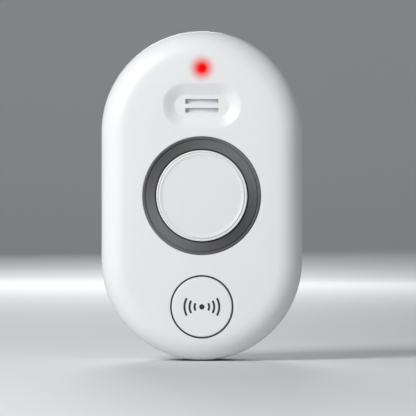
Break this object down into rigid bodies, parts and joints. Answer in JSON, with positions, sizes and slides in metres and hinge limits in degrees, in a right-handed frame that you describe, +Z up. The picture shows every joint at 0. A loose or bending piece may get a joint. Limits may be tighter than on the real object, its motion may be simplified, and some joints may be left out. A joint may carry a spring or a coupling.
{
  "type": "carbon monoxide detector",
  "caption": "Wall-mounted carbon monoxide detector: round-ended white housing with slotted vent, indicator, ringed sounder, test button, battery door and wall plate.",
  "frame": {"origin": "centre of the wall plate's back face, on the wall plane", "axes": "+Z up along the housing's length, -Y out of the front face, +Y into the wall, +X to the right seen from the front"},
  "size_m": [0.072, 0.036, 0.118],
  "materials": {
    "case_white": "satin moulded",
    "cap_white": "satin moulded",
    "button_white": "satin moulded",
    "dark_ring": "spun, dark anodised",
    "button_trim": "matte",
    "sounder_black": "moulded",
    "piezo_brass": "rolled sheet",
    "piezo_silver": "silvered",
    "lead_red": "insulated wire",
    "lead_black": "insulated wire",
    "switch_black": "moulded",
    "lens_red": "clear tinted, lit",
    "led_red": "clear tinted, lit",
    "filter_cloth": "fine woven mesh",
    "gasket_foam": "closed-cell foam",
    "sensor_can": "rolled can",
    "board_green": "solder mask on laminate",
    "chip_black": "moulded package",
    "ferrite": "sintered",
    "capacitor_can": "drawn can",
    "cell_jacket": "shrink jacket",
    "contact_nickel": "nickel plated",
    "screw_steel": "zinc plated"
  },
  "bodies": {
    "bracket": {"wall_plate": "case_white"},
    "housing": {"front_cover": "case_white", "rear_case": "case_white", "sounder_cap": "cap_white", "sounder_ring": "dark_ring", "button_ring": "button_trim", "sounder_chamber": "sounder_black", "piezo_disc": "piezo_brass", "piezo_ceramic": "piezo_silver", "piezo_lead_1": "lead_red", "piezo_lead_2": "lead_black", "tact_switch": "switch_black", "led_lens": "lens_red", "status_led": "led_red", "vent_filter": "filter_cloth", "sensor_gasket": "gasket_foam", "co_sensor": "sensor_can", "main_board": "board_green", "microcontroller": "chip_black", "sensor_amplifier": "chip_black", "boost_inductor": "ferrite", "reservoir_capacitor": "capacitor_can", "cell_upper": "cell_jacket", "cell_lower": "cell_jacket", "cell_link": "contact_nickel", "plate_contact": "contact_nickel", "spring_contact": "contact_nickel", "case_screw_1": "screw_steel", "case_screw_2": "screw_steel", "case_screw_3": "screw_steel", "case_screw_4": "screw_steel", "board_screw_1": "screw_steel", "board_screw_2": "screw_steel", "board_screw_3": "screw_steel", "board_screw_4": "screw_steel"},
    "door": {"battery_door": "case_white"},
    "button": {"test_button": "button_white"},
    "plunger": {"switch_plunger": "switch_black"}
  },
  "joints": [
    {"name": "case_lift", "type": "slide", "parent": "bracket", "child": "housing", "axis": [0, 0, 1], "range_m": [0, 0.005]},
    {"name": "battery_door_hinge", "type": "hinge", "parent": "housing", "child": "door", "pos_m": [0, -0.0018, -0.06095], "axis": [-1, 0, 0], "range_deg": [0, 105]},
    {"name": "test_button_press", "type": "slide", "parent": "housing", "child": "button", "axis": [0, 1, 0], "range_m": [0, 0.0005], "stiffness_N_per_m": 600},
    {"name": "switch_plunger_press", "type": "slide", "parent": "housing", "child": "plunger", "axis": [0, 1, 0], "range_m": [0, 0.0005]}
  ],
  "couplings": [
    {"joint": "switch_plunger_press", "follows": "test_button_press", "ratio": 1}
  ]
}
